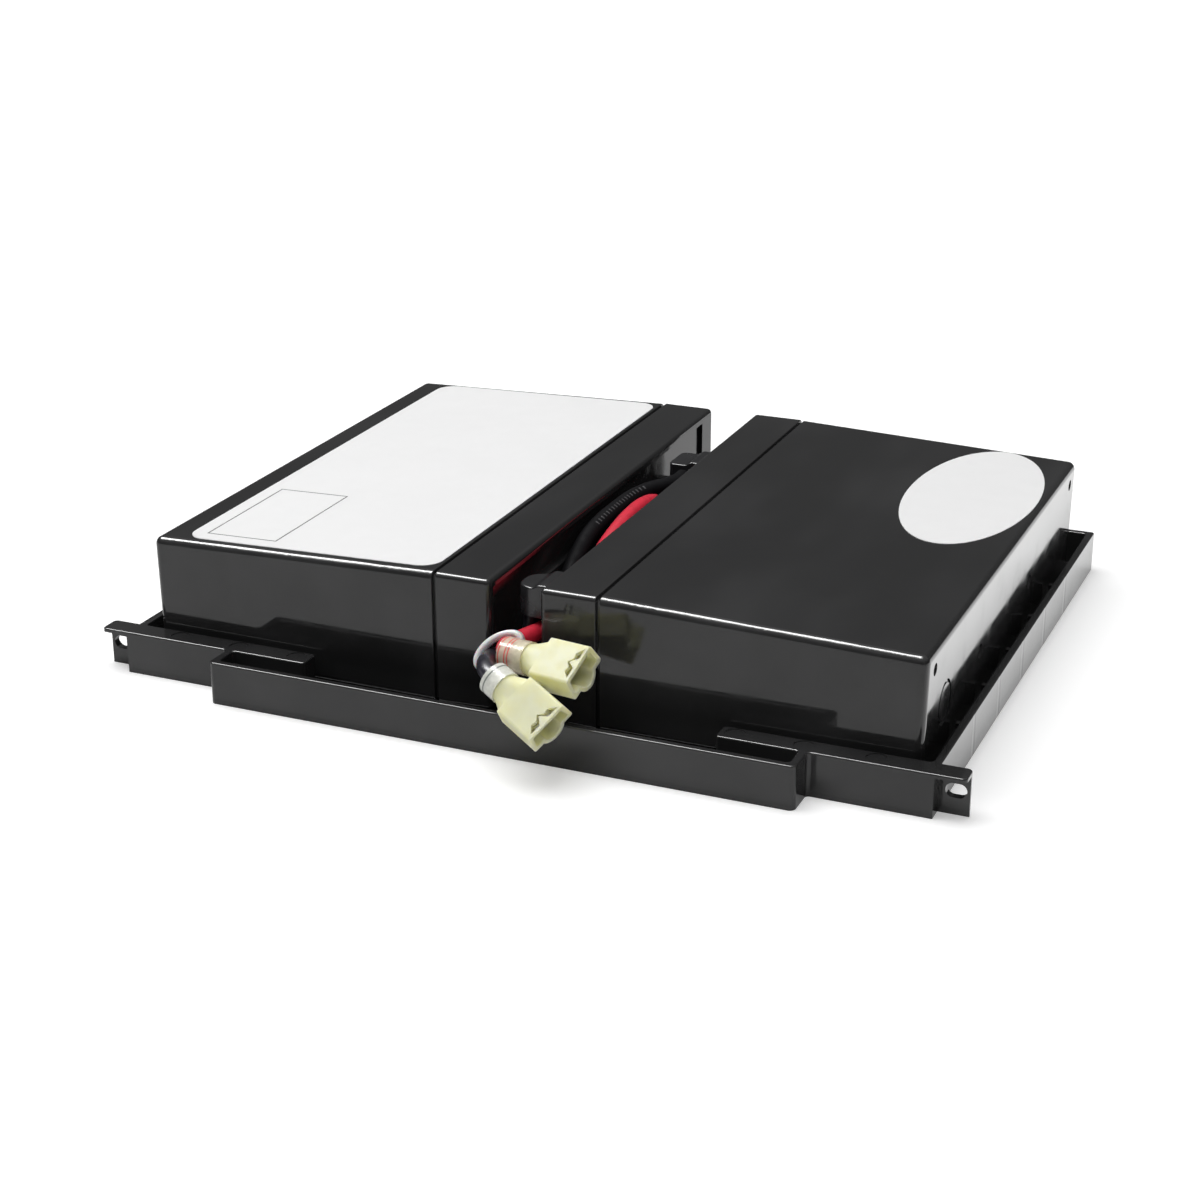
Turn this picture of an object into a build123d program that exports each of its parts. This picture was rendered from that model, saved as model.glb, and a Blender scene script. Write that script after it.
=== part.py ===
"""Battery cartridge for a rack UPS: a low moulded tray that carries two sealed batteries and their leads.

Millimetres. +X runs across the two batteries, +Y from the front pocket to the rear wall, +Z up. The origin is
the centre of the tray's footprint on its underside.
"""

import os
from math import cos, radians, sin, tan

from build123d import *

# Batteries: sealed lead-acid blocks that lie on their large faces, lids towards each other.
battery_length = 151.0          # along Y, at the seam
battery_height = 94.0           # along X, lid face to container end
battery_thickness = 34.0        # along Z, at the seam
lid_height = 15.25
channel_width = 13.0            # between the two lid faces
case_fall = 1.77                # degrees that the upper face falls towards the container end
plan_draft = 0.32               # degrees, on the container's narrow sides
end_lean = 0.885                # degrees, on the container's end face
case_fillet = 2.0
lid_fillet = 1.4
groove_width = 0.9              # weld groove round the seam, cut out of the lid
groove_depth = 1.0
seam_round = 0.3                # on both rims of the groove

# Lid face: a rim round a shallow panel, with wells for the terminals.
lid_rim = 2.3
panel_depth = 0.9
panel_from_end = 8.5            # the panel stops short of the lid's rear end
well_depth = 4.2
well_size = 13.0
terminal_from_end = 10.5        # first terminal, from the battery's front face
terminal_spacing = 100.0
terminal_offset = 11.5          # from the lid's middle plane, towards one long edge

# Tab terminals, their receptacles and the boots over them.
tab_width = 6.35
tab_thickness = 0.8
tab_length = 7.9
tab_root = 1.6                  # length held in the lid
receptacle_sheet = 0.4
receptacle_length = 7.0
receptacle_clearance = 0.05
roll_radius = 1.0
boot_length = 11.0              # along Y
boot_height = 8.4               # along Z
boot_reach = 8.9                # how far a boot stands into the channel
boot_crest = 2.4                # width of its upper level, next to the lid
boot_ramp = 1.5                 # run of the S-shaped drop to its lower level
boot_step = 1.0                 # height of that drop
boot_bend = 1.6                 # radius of both bends of the drop
boot_corner = 1.9
boot_rim = 0.4

# Vent cover plate on each lid.
vent_length = 70.0
vent_width = 15.0
vent_thickness = 1.4

# Tray moulding.
tray_height = 11.0
wall = 2.0
floor_thickness = 2.0
tape_thickness = 1.0
side_gap = 2.7                  # container end to the inside of a side wall
rear_gap = 7.5                  # battery to the inside of the rear wall
ledge_gap = 1.4                 # battery to the back of the front ledge
ledge_depth = 6.1
ledge_inner_x = 53.7            # where the ledge ends beside the middle well
pocket_half_width = 75.8
pocket_reach = 8.5              # how far the pocket stands in front of the ledge
corner_radius = 1.5             # front corners of the pocket
rear_radius = 0.8
inner_radius = 1.0              # upright corners inside the tray and beside the pocket
edge_radius = 0.4               # along the top
ear_lip = 1.0                   # thickness of the ledge plate over an ear
ear_radius = 1.3
slot_length = 5.0
slot_width = 3.5
slot_from_wall = 4.05           # slot's middle from the outer face of the side wall
slot_to_tip = 3.25
slot_height = 5.9
rib_pitch = 24.0                # ribs in the side gaps
rib_count = 5
rib_thickness = 1.6
rib_drop = 3.0                  # rib tops below the wall top
rib_clearance = 0.4
rear_rib_x = (30.0, 80.0)
mark_diameter = 5.0             # round ejector marks on the ledge
mark_depth = 0.2
mark_x = (57.5, 74.0, 91.0)

# Adhesive strips under the batteries.
tape_width = 20.0
tape_inset = 8.0                # from the edges of a container's large face

# Labels.
label_thickness = 0.15
left_label_size = (70.1, 145.0)
left_label_radius = 5.0
left_label_from_seam = 0.8
left_label_from_front = 3.0
right_label_size = (33.6, 77.6)
right_label_from_seam = 60.25
right_label_from_front = 109.5

# Marks moulded in the containers' end faces.
end_ring_diameter = 11.0
end_ring_width = 0.9
end_ring_from_front = 18.0
end_ring_height = 14.0
end_dimple_diameter = 3.0
end_dimple_from_end = 7.0
end_dimple_height = 26.5
gate_diameter = 4.0
end_mark_depth = 0.35

# Leads and their connectors.
lead_diameter = 4.4
housing_wide = 12.3
housing_narrow = 10.9
housing_depth = 6.0
housing_wall = 1.0
housing_length = 11.4
housing_taper = 4.1
housing_fillet = 0.7
bulge_radius = 3.6
bulge_centre = 1.6              # below the housing's middle
neck_diameter = 7.2
neck_length = 3.0
mouth_depth = 9.6
barrel_diameter = 4.0
barrel_clearance = 0.1
blade_width = 6.35
blade_thickness = 0.8
blade_setback = 2.6             # blade tip behind the mouth
sleeve_diameter = 8.2
sleeve_clearance = 0.05
sleeve_overlap = 2.8            # on the neck
red_sleeve_length = 7.2
black_sleeve_length = 4.3
crimp_tail = 0.6                # crimp barrel behind the neck
lead_run = 3.6                  # straight run of a lead behind its crimp
window_half_width = 4.3
window_front = 0.7              # latch window behind the mouth's edge
window_depth = 2.5

# Cable tie round the two leads where they leave the channel.
tie_spacing = 5.4               # between the two leads' axes
tie_clearance = 0.75
tie_thickness = 0.9
tie_width = 2.0
tie_head = (4.0, 2.8, 2.6)      # along the loop, out from it, and along the leads
tie_head_offset = -0.4          # from the loop's middle
tie_middle = (-1.9, -2.9, 21.1)
tie_slant = 43.5                # degrees, from +X

# How far a cut starts outside what it cuts.
overshoot = 1.0

# Places worked out from the sizes above.
battery_z = floor_thickness + tape_thickness
lid_face_x = channel_width / 2
seam_x = lid_face_x + lid_height
end_x = lid_face_x + battery_height
top_z = battery_z + battery_thickness
middle_z = battery_z + battery_thickness / 2
wall_inner_x = end_x + side_gap
wall_outer_x = wall_inner_x + wall
slot_x = wall_outer_x + slot_from_wall
ear_tip_x = slot_x + slot_to_tip
front_to_ledge = ledge_gap + ledge_depth
tray_depth = front_to_ledge + pocket_reach + battery_length + rear_gap + wall
front_y = -tray_depth / 2
battery_front_y = front_y + pocket_reach + front_to_ledge
battery_rear_y = battery_front_y + battery_length
ledge_front_y = front_y + pocket_reach
ledge_back_y = ledge_front_y + ledge_depth
rear_y = tray_depth / 2
terminal_ys = [battery_front_y + terminal_from_end + i * terminal_spacing for i in range(2)]
boot_half = boot_length / 2

# Routes of the leads: across, back from the batteries' front face, and up from the tray's underside.
red_route = [
    (-2.0, 105.0, 8.5), (-2.0, 101.5, 8.5), (-1.2, 98.0, 12.0), (0.3, 94.5, 18.6), (1.8, 90.5, 25.4),
    (2.7, 84.5, 30.8), (2.9, 75.5, 33.4), (2.9, 65.0, 33.6), (2.8, 54.5, 31.9), (2.8, 44.5, 29.2),
    (3.1, 34.0, 26.4), (3.6, 24.5, 24.4), (4.4, 16.0, 23.6), (4.4, 9.5, 23.3), (2.2, 3.0, 23.3),
    (0.7, -1.2, 23.3), (-0.3, -3.9, 23.1), (0.3, -6.2, 22.95),
]
black_route = [
    (-0.2, 11.0, 27.3), (-0.2, 11.0, 22.8), (-1.4, 9.5, 18.6), (-3.2, 5.0, 17.4), (-4.0, 0.0, 18.2),
    (-4.3, -4.5, 19.6), (-3.6, -9.0, 20.9), (-2.2, -13.3, 22.1),
]
jumper_route = [
    (2.0, 105.0, 31.2), (2.0, 100.5, 31.2), (0.6, 95.0, 31.6), (-2.0, 89.5, 31.9), (-4.0, 82.0, 31.8),
    (-4.1, 72.0, 31.9), (-4.1, 62.0, 31.8), (-4.0, 53.0, 30.8), (-3.6, 44.0, 27.6), (-3.4, 36.0, 22.2),
    (-3.2, 29.5, 16.0), (-2.6, 24.0, 10.8), (-2.0, 20.0, 8.5), (-2.0, 16.0, 8.5),
]

# A connector lies along its axis, with its broad face towards face_dir.
red_mouth = (23.8, -13.8, 24.3)
red_axis = (0.962, -0.26, 0.06)
red_face_dir = (-0.189, -0.505, 0.84)
black_mouth = (21.0, -26.3, 15.1)
black_axis = (0.874, -0.362, -0.327)
black_face_dir = (-0.201, -0.604, 0.771)
neck_end = housing_length + housing_taper + neck_length
crimp_end = neck_end + crimp_tail


def box(x, y, z):
    """A box given by its low and high corner along each axis."""
    size = [high - low for low, high in (x, y, z)]
    return Pos(x[0], y[0], z[0]) * Box(*size, align=(Align.MIN, Align.MIN, Align.MIN))


def cross_section(x, y, z):
    """A rectangle in the plane X = x, given by its limits along Y and Z."""
    plane = Plane(origin=(x, (y[0] + y[1]) / 2, (z[0] + z[1]) / 2), x_dir=(0, 1, 0), z_dir=(1, 0, 0))
    return plane * Rectangle(y[1] - y[0], z[1] - z[0])


def widened(limits, by):
    """A pair of limits moved apart by the same amount at both ends."""
    return limits[0] - by, limits[1] + by


def on_side(shape, side):
    """A shape made for the +X battery, or its mirror image for the -X one."""
    return shape if side > 0 else mirror(shape, about=Plane.YZ)


def upper_plane(side):
    """The sloping upper face of a container, with its origin at the front of the seam."""
    fall = radians(case_fall)
    return Plane(
        origin=(side * seam_x, battery_front_y, top_z),
        x_dir=(side * cos(fall), 0, -sin(fall)),
        z_dir=(side * sin(fall), 0, cos(fall)),
    )


def end_plane(side):
    """The leaning end face of a container, at its lower front corner, X along the battery."""
    lean = radians(end_lean)
    foot = side * (end_x - battery_thickness * tan(lean))
    return Plane(
        origin=(foot, battery_front_y, battery_z),
        x_dir=(0, side, 0),
        z_dir=(side * cos(lean), 0, -sin(lean)),
    )


def battery_case(side):
    """A container: drafted block with rounded edges and a softened rim at the seam."""
    run = battery_height - lid_height
    draft = run * tan(radians(plan_draft))
    end_top = top_z - run * tan(radians(case_fall))
    foot = battery_thickness * tan(radians(end_lean))
    seam = cross_section(seam_x, (battery_front_y, battery_rear_y), (battery_z, top_z))
    end = cross_section(end_x, (battery_front_y + draft, battery_rear_y - draft), (battery_z, end_top))
    body = Solid.make_loft([seam.wire(), end.wire()], True)
    lean_cut = Plane(
        origin=(end_x - foot, 0, battery_z),
        x_dir=(0, 1, 0),
        z_dir=(cos(radians(end_lean)), 0, -sin(radians(end_lean))),
    )
    body = split(body, bisect_by=lean_cut, keep=Keep.BOTTOM)
    rounded = body.edges().filter_by(lambda e: (e @ 0.5).X > seam_x + case_fillet)
    body = fillet(rounded, case_fillet)
    body = fillet(body.faces().sort_by(Axis.X)[0].edges(), seam_round)
    body = on_side(body, side)
    return body - end_marks(side)


def end_marks(side):
    """Shallow marks in a container's end face: a plain ring, two gate spots and two dimples."""
    plane = end_plane(side)
    marks = []

    def spot(y, z, face):
        marks.append(plane * Pos(side * y, z) * face)

    ring = Circle(end_ring_diameter / 2) - Circle(end_ring_diameter / 2 - end_ring_width)
    spot(end_ring_from_front, end_ring_height, ring)
    for third in (1, 2):
        spot(third * battery_length / 3, end_ring_height, Circle(gate_diameter / 2))
    for y in (end_dimple_from_end, battery_length - end_dimple_from_end):
        spot(y, end_dimple_height, Circle(end_dimple_diameter / 2))
    normal = Vector(*plane.z_dir)
    return [extrude(mark, end_mark_depth, dir=-normal) for mark in marks]


def battery_lid(side):
    """A lid: block that narrows to its face, with a weld groove, a rimmed panel and two terminal wells."""
    rise = lid_height * tan(radians(case_fall))
    draft = lid_height * tan(radians(plan_draft))
    seam = cross_section(seam_x, (battery_front_y, battery_rear_y), (battery_z, top_z))
    face = cross_section(
        lid_face_x, (battery_front_y + draft, battery_rear_y - draft), (battery_z + rise, top_z)
    )
    body = Solid.make_loft([face.wire(), seam.wire()], True)
    rounded = body.edges().filter_by(lambda e: (e @ 0.5).X < seam_x - lid_fillet)
    body = fillet(rounded, lid_fillet) - weld_groove()
    rim_x = seam_x - groove_width
    shoulder = body.faces().filter_by(Axis.X).filter_by(lambda f: abs(f.center().X - rim_x) < groove_width / 2)[0]
    body = fillet(shoulder.outer_wire().edges(), seam_round)
    body -= box(
        (lid_face_x - overshoot, lid_face_x + panel_depth),
        (battery_front_y + lid_rim, battery_rear_y - panel_from_end),
        (battery_z + rise + lid_rim, top_z - lid_rim),
    )
    body = on_side(body, side)
    for y in terminal_ys:
        body -= well(side, y)
        body -= terminal(side, y)
    return body


def weld_groove():
    """The ring that is cut from the +X lid where it meets its container."""
    x, y, z = (seam_x - groove_width, seam_x), (battery_front_y, battery_rear_y), (battery_z, top_z)
    outside = box((x[0], x[1] + overshoot), widened(y, overshoot), widened(z, overshoot))
    return outside - box(widened(x, 2 * overshoot), widened(y, -groove_depth), widened(z, -groove_depth))


def terminal_z(side):
    """Height of a battery's terminals: the left one lies the other way up."""
    return middle_z + side * terminal_offset


def well(side, y):
    """The square pocket that a terminal stands in."""
    z = terminal_z(side)
    half = well_size / 2
    pocket = box(
        (lid_face_x - overshoot, lid_face_x + well_depth),
        (y - half, y + half),
        (max(z - half, battery_z + lid_rim), min(z + half, top_z - lid_rim)),
    )
    return on_side(pocket, side)


def terminal(side, y):
    """A flat tab with a chamfered tip, its root held in the lid."""
    root_x = lid_face_x + well_depth + tab_root
    tip_x = lid_face_x + well_depth - tab_length
    tab = box((tip_x, root_x), (y - tab_width / 2, y + tab_width / 2), (0, tab_thickness))
    corners = tab.edges().filter_by(Axis.Z).group_by(Axis.X)[0]
    tab = Pos(0, 0, terminal_z(side) - tab_thickness / 2) * chamfer(corners, tab_width / 8)
    return on_side(tab, side)


def receptacle(side, y):
    """A sheet receptacle over a tab: a flat back and two rolled edges."""
    base_x = lid_face_x + well_depth
    half = tab_width / 2 + receptacle_clearance
    low = -tab_thickness / 2 - receptacle_clearance
    back = Pos(0, low - receptacle_sheet / 2) * Rectangle(2 * half, receptacle_sheet)
    profile = back
    for edge in (-1, 1):
        roll = Circle(roll_radius) - Circle(roll_radius - receptacle_sheet)
        roll -= Pos(-edge * roll_radius / 2, 0) * Rectangle(roll_radius, 2 * roll_radius)
        profile += Pos(edge * half, low - receptacle_sheet + roll_radius) * roll
    plane = Plane(origin=(base_x - tab_length, y, terminal_z(side)), x_dir=(0, 1, 0), z_dir=(1, 0, 0))
    return on_side(extrude(plane * profile, receptacle_length), side)


def boot(side, y):
    """A moulded boot over a receptacle, with an S-shaped shoulder; its foot rests on the lid's rim."""
    outer_x = lid_face_x - boot_reach
    half = boot_height / 2
    shelf = half - boot_step
    crest_x = lid_face_x - boot_crest
    outline = Polyline(
        (lid_face_x, -half), (outer_x, -half), (outer_x, shelf), (crest_x - boot_ramp, shelf), (crest_x, half),
        (lid_face_x, half), close=True,
    )
    profile = make_face(outline.edges())
    profile = fillet(profile.vertices().filter_by(lambda v: outer_x < v.X - boot_rim < crest_x), boot_bend)
    body = extrude(Plane.XZ * profile, boot_half, both=True)
    body = fillet(body.edges().filter_by(Axis.Z).group_by(Axis.X)[0], boot_corner)
    body = fillet(boot_rims(body, outer_x, shelf), boot_rim)
    z = terminal_z(side)
    body = Pos(0, y, z) * (body if side > 0 else mirror(body, about=Plane.XY))
    reach = tab_width / 2 + roll_radius + receptacle_clearance
    cavity = box(
        (lid_face_x + well_depth - tab_length - receptacle_clearance, lid_face_x + overshoot),
        (y - reach, y + reach),
        (z - roll_radius - tab_thickness, z + roll_radius + tab_thickness),
    )
    return on_side(body - cavity, side)


def boot_rims(body, outer_x, shelf):
    """The edges round a boot's upper face, apart from the one against the lid and the lines across it."""
    upper = body.edges().filter_by(lambda e: (e @ 0.5).Z > shelf - boot_rim)
    return upper.filter_by(lambda e: abs((e % 0.5).Y) < 0.99 or (e @ 0.5).X < outer_x + boot_rim).filter_by(
        lambda e: abs((e % 0.5).Z) < 0.99
    )


def vent_cover(side):
    """A thin plate with rounded corners welded on the lid between the terminals."""
    centre_y = sum(terminal_ys) / 2
    plane = Plane(origin=(lid_face_x + panel_depth, centre_y, middle_z), x_dir=(0, 1, 0), z_dir=(-1, 0, 0))
    plate = extrude(plane * RectangleRounded(vent_length, vent_width, lid_rim), vent_thickness)
    outer = plate.faces().sort_by(Axis.X)[0]
    return on_side(chamfer(outer.edges(), edge_radius), side)


def tray():
    """The tray moulding, hollow under its ledges, with ribs in the gaps round the batteries."""
    body = extrude(tray_outline(), tray_height, dir=(0, 0, 1))
    for side in (-1, 1):
        body += on_side(ear(), side)
    body -= Pos(0, 0, floor_thickness) * extrude(tray_opening(), tray_height, dir=(0, 0, 1))
    body = fillet(body.faces().sort_by(Axis.Z)[-1].edges(), edge_radius)
    for side in (-1, 1):
        body -= on_side(ledge_hollow(), side)
        body -= on_side(ear_slot(), side)
        body += [on_side(rib, side) for rib in side_ribs() + rear_ribs()]
        body -= [on_side(mark, side) for mark in ejector_marks()]
    return body


def tray_outline():
    """The tray's plan without its ears: a wide body with the pocket standing forward."""
    right = [(pocket_half_width, front_y), (pocket_half_width, ledge_front_y), (wall_outer_x, ledge_front_y)]
    right.append((wall_outer_x, rear_y))
    plan = mirrored_face(right)
    plan = fillet(plan.vertices().group_by(Axis.Y)[0], corner_radius)
    plan = fillet(plan.vertices().group_by(Axis.Y)[-1], rear_radius)
    ledge_corners = plan.vertices().filter_by(lambda v: abs(v.Y - ledge_front_y) < edge_radius)
    return fillet(ledge_corners.filter_by(lambda v: abs(v.X) < wall_inner_x), inner_radius)


def tray_opening():
    """The plan of the space inside the walls: pocket, middle well and battery bay."""
    pocket_x = pocket_half_width - wall
    right = [(pocket_x, front_y + wall), (pocket_x, ledge_front_y), (ledge_inner_x, ledge_front_y)]
    right += [(ledge_inner_x, ledge_back_y), (wall_inner_x, ledge_back_y), (wall_inner_x, rear_y - wall)]
    plan = mirrored_face(right)
    return fillet(plan.vertices(), inner_radius)


def mirrored_face(right):
    """A face from the points of its +X half, front to rear."""
    left = [(-x, y) for x, y in reversed(right)]
    return make_face(Polyline(*right, *left, close=True).edges())


def ear():
    """A mounting ear beyond the +X wall: lip on top, plate set back under it."""
    x = (wall_outer_x - overshoot, ear_tip_x)
    lip = box(x, (ledge_front_y, ledge_back_y), (tray_height - ear_lip, tray_height))
    lip = fillet(lip.edges().filter_by(Axis.Z).group_by(Axis.X)[-1], ear_radius)
    plate = box(x, (ledge_back_y - wall, ledge_back_y), (0, tray_height - ear_lip))
    back_corner = plate.edges().filter_by(Axis.Z).group_by(Axis.X)[-1].sort_by(Axis.Y)[-1]
    return lip + fillet(back_corner, ear_radius)


def ear_slot():
    """The slot through the +X ear, along X."""
    plane = Plane(origin=(slot_x, ledge_back_y, slot_height), x_dir=(1, 0, 0), z_dir=(0, -1, 0))
    return extrude(plane * SlotOverall(slot_length, slot_width), wall, both=True)


def ledge_hollow():
    """The hollow under the +X ledge, open below."""
    x = (ledge_inner_x + wall, wall_inner_x)
    y = (ledge_front_y + wall, ledge_back_y - wall)
    return box(x, y, (-overshoot, tray_height - wall))


def side_ribs():
    """Ribs in the gap between the +X container end and its wall."""
    first = battery_front_y + battery_length / 2 - rib_pitch * (rib_count - 1) / 2
    ribs = []
    for i in range(rib_count):
        y = first + i * rib_pitch
        ribs.append(
            box(
                (end_x + rib_clearance, wall_inner_x),
                (y - rib_thickness / 2, y + rib_thickness / 2),
                (floor_thickness, tray_height - rib_drop),
            )
        )
    return ribs


def rear_ribs():
    """Ribs that stand forward from the rear wall behind the +X battery."""
    return [
        box(
            (x - rib_thickness / 2, x + rib_thickness / 2),
            (battery_rear_y + rib_clearance, rear_y - wall),
            (floor_thickness, tray_height - rib_drop),
        )
        for x in rear_rib_x
    ]


def ejector_marks():
    """Shallow round marks along the top of the +X ledge."""
    y = (ledge_front_y + ledge_back_y) / 2
    return [
        Pos(x, y, tray_height - mark_depth) * Cylinder(
            mark_diameter / 2, 2 * mark_depth, align=(Align.CENTER, Align.CENTER, Align.MIN)
        )
        for x in mark_x
    ]


def tape_strips(side):
    """Two adhesive strips between a battery and the tray floor."""
    y = (battery_front_y + tape_inset, battery_rear_y - tape_inset)
    strips = []
    for x in (seam_x + tape_inset, end_x - tape_inset - tape_width):
        strips.append(on_side(box((x, x + tape_width), y, (floor_thickness, battery_z)), side))
    return Compound(strips)


def left_label():
    """A white rounded rectangle on the left container."""
    width, length = left_label_size
    centre = Pos(left_label_from_seam + width / 2, -left_label_from_front - length / 2)
    return extrude(upper_plane(-1) * centre * RectangleRounded(width, length, left_label_radius), label_thickness)


def right_label():
    """A white ellipse on the right container."""
    across, along = right_label_size
    centre = Pos(right_label_from_seam, right_label_from_front)
    return extrude(upper_plane(1) * centre * Ellipse(across / 2, along / 2), label_thickness)


def connector_place(mouth, axis, face_dir):
    """The frame of a connector: origin at its mouth, X out along its axis, Z out of its broad face."""
    x = Vector(*axis).normalized()
    z = Vector(*face_dir)
    z = (z - x * x.dot(z)).normalized()
    place = Vector(mouth[0], mouth[1] + battery_front_y, mouth[2])
    return Plane(origin=place, x_dir=x, z_dir=z)


def housing_profile(inset=0.0):
    """The mouth's outline: a broad flat face, two slanting sides and a round bulge below."""
    half = housing_depth / 2 - inset
    wide, narrow = housing_wide / 2 - inset, housing_narrow / 2 - inset
    body = make_face(Polyline((-narrow, half), (narrow, half), (wide, -half), (-wide, -half), close=True).edges())
    body = fillet(body.vertices(), housing_fillet)
    return body + Pos(0, -bulge_centre) * Circle(bulge_radius - inset)


def latch_window():
    """The zigzag slot through the broad face, as points back from the mouth and across."""
    front, deep, half = window_front, window_front + window_depth, window_half_width
    tooth = half / 3
    return Polyline(
        (-front, -half), (-front, -tooth), (-0.8 * deep, 0), (-front, tooth), (-front, half),
        (-0.75 * deep, 0.6 * half), (-0.65 * deep, 0.3 * half), (-deep, 0),
        (-0.65 * deep, -0.3 * half), (-0.75 * deep, -0.6 * half), close=True,
    )


def connector_housing(place):
    """An ivory one-pole housing: open mouth, latch window, tapered rear and round neck."""
    along = Plane.YZ
    rear = -housing_length
    body = extrude(along.offset(rear) * housing_profile(), housing_length)
    narrow_end = along.offset(rear - housing_taper)
    shoulder = along.offset(rear) * RectangleRounded(housing_narrow, housing_depth, housing_depth / 2.2)
    body += loft([shoulder, narrow_end * Circle(neck_diameter / 2)])
    body += extrude(narrow_end * Circle(neck_diameter / 2), -neck_length)
    body -= extrude(along.offset(-mouth_depth) * housing_profile(housing_wall), mouth_depth + overshoot)
    bore = Circle(barrel_diameter / 2 + barrel_clearance)
    body -= extrude(along * bore, -neck_end - overshoot)
    window = make_face(latch_window().edges())
    body -= Pos(0, 0, housing_depth / 2 - housing_wall) * extrude(window, housing_wall + overshoot)
    return place * body


def connector_contact(place):
    """A blade in the mouth with a crimp barrel behind it that ends at the wire."""
    blade = box(
        (-mouth_depth, -blade_setback), (-blade_width / 2, blade_width / 2), (-blade_thickness / 2, blade_thickness / 2)
    )
    blade = chamfer(blade.edges().filter_by(Axis.Z).group_by(Axis.X)[-1], blade_width / 8)
    barrel = extrude(Plane.YZ.offset(-mouth_depth) * Circle(barrel_diameter / 2), mouth_depth - crimp_end)
    return place * (blade + barrel)


def connector_sleeve(place, sleeve_length):
    """A clear tube over the neck and the end of the wire."""
    ring = Circle(sleeve_diameter / 2) - Circle(neck_diameter / 2 + sleeve_clearance)
    return place * extrude(Plane.YZ.offset(sleeve_overlap - neck_end) * ring, -sleeve_length)


def lead_end(place):
    """The last two points of a lead, measured like the routes: in line with its connector, and at the crimp."""
    points = [place.origin - place.x_dir * (crimp_end + run) for run in (lead_run, 0)]
    return [(point.X, point.Y - battery_front_y, point.Z) for point in points]


def lead(route, name):
    """A round lead along straight runs and tangent arcs, each arc as large as its runs allow."""
    points = [Vector(x, y + battery_front_y, z) for x, y, z in route]
    radii = []
    for a, b, c in zip(points, points[1:], points[2:]):
        turn = (b - a).get_angle(c - b)
        radii.append(0.45 * min((b - a).length, (c - b).length) / tan(radians(turn / 2)))
    path = FilletPolyline(*points, radius=radii)
    section = Plane(origin=path @ 0, z_dir=path % 0) * Circle(lead_diameter / 2)
    tube = sweep(section, path=path)
    print(name, "length", round(path.length, 1), "radii", [round(r, 1) for r in radii])
    print(name, "volume over section times length", round(tube.volume / (section.area * path.length), 4))
    return tube


def cable_tie():
    """A flat strap looped round both leads, with its square head underneath."""
    x, y, z = tie_middle
    slant = radians(tie_slant)
    loop = Plane(origin=(x, y + battery_front_y, z), x_dir=(cos(slant), 0, sin(slant)), z_dir=(0, -1, 0))
    across = lead_diameter + 2 * tie_clearance
    along = across + tie_spacing
    ring = SlotOverall(along + 2 * tie_thickness, across + 2 * tie_thickness) - SlotOverall(along, across)
    strap = extrude(loop * ring, tie_width / 2, both=True)
    long, out, deep = tie_head
    head = loop * Pos(tie_head_offset, -(across + out) / 2, 0) * Box(long, out, deep)
    return strap + head


def build():
    """All the pieces by node name."""
    red_place = connector_place(red_mouth, red_axis, red_face_dir)
    black_place = connector_place(black_mouth, black_axis, black_face_dir)
    pieces = {"tray": tray(), "left_label": left_label(), "right_label": right_label()}
    for side, word in ((-1, "left"), (1, "right")):
        pieces[f"{word}_battery_case"] = battery_case(side)
        pieces[f"{word}_battery_lid"] = battery_lid(side)
        pieces[f"{word}_vent_cover"] = vent_cover(side)
        pieces[f"{word}_tape_strips"] = tape_strips(side)
        for pole, y in zip(("negative", "positive"), terminal_ys):
            pieces[f"{word}_{pole}_terminal"] = terminal(side, y)
            pieces[f"{word}_{pole}_receptacle"] = receptacle(side, y)
            pieces[f"{word}_{pole}_boot"] = boot(side, y)
    for word, place, length, route in (
        ("red", red_place, red_sleeve_length, red_route), ("black", black_place, black_sleeve_length, black_route),
    ):
        pieces[f"{word}_connector_housing"] = connector_housing(place)
        pieces[f"{word}_connector_contact"] = connector_contact(place)
        pieces[f"{word}_connector_sleeve"] = connector_sleeve(place, length)
        pieces[f"{word}_lead"] = lead(route + lead_end(place), f"{word}_lead")
    pieces["jumper_lead"] = lead(jumper_route, "jumper_lead")
    pieces["cable_tie"] = cable_tie()
    return pieces


if __name__ == "__main__":
    os.makedirs("parts", exist_ok=True)
    for node, shape in build().items():
        export_step(shape, f"parts/{node}.step")
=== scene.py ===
"""Dress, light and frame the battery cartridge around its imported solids.

Everything is in metres in the part's own frame: +X across the batteries, +Y to the rear, +Z up, with the
origin under the middle of the tray.
"""

import logging
import math
from dataclasses import dataclass
from enum import Enum
from typing import Any, Dict, List, Optional, Sequence, Tuple, Union

import bmesh
import bpy
from mathutils import Matrix, Vector


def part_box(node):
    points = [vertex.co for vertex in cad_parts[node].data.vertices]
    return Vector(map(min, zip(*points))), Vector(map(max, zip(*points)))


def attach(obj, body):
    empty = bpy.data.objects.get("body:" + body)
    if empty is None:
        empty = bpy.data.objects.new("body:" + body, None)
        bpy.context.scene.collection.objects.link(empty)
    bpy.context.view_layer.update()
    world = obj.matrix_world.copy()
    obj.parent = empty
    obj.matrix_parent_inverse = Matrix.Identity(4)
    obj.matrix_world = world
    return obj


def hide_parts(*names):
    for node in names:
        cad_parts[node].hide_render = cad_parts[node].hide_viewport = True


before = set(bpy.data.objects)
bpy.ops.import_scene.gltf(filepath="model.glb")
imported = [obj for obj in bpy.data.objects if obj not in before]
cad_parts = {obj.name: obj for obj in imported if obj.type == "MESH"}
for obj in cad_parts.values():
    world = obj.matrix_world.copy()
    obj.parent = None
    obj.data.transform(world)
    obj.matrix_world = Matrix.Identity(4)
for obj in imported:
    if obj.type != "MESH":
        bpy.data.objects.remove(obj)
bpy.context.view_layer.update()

Point = Tuple[float, float, float]
Colour = Tuple[float, float, float]
Number = Union[int, float]
Socket = bpy.types.NodeSocket
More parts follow.
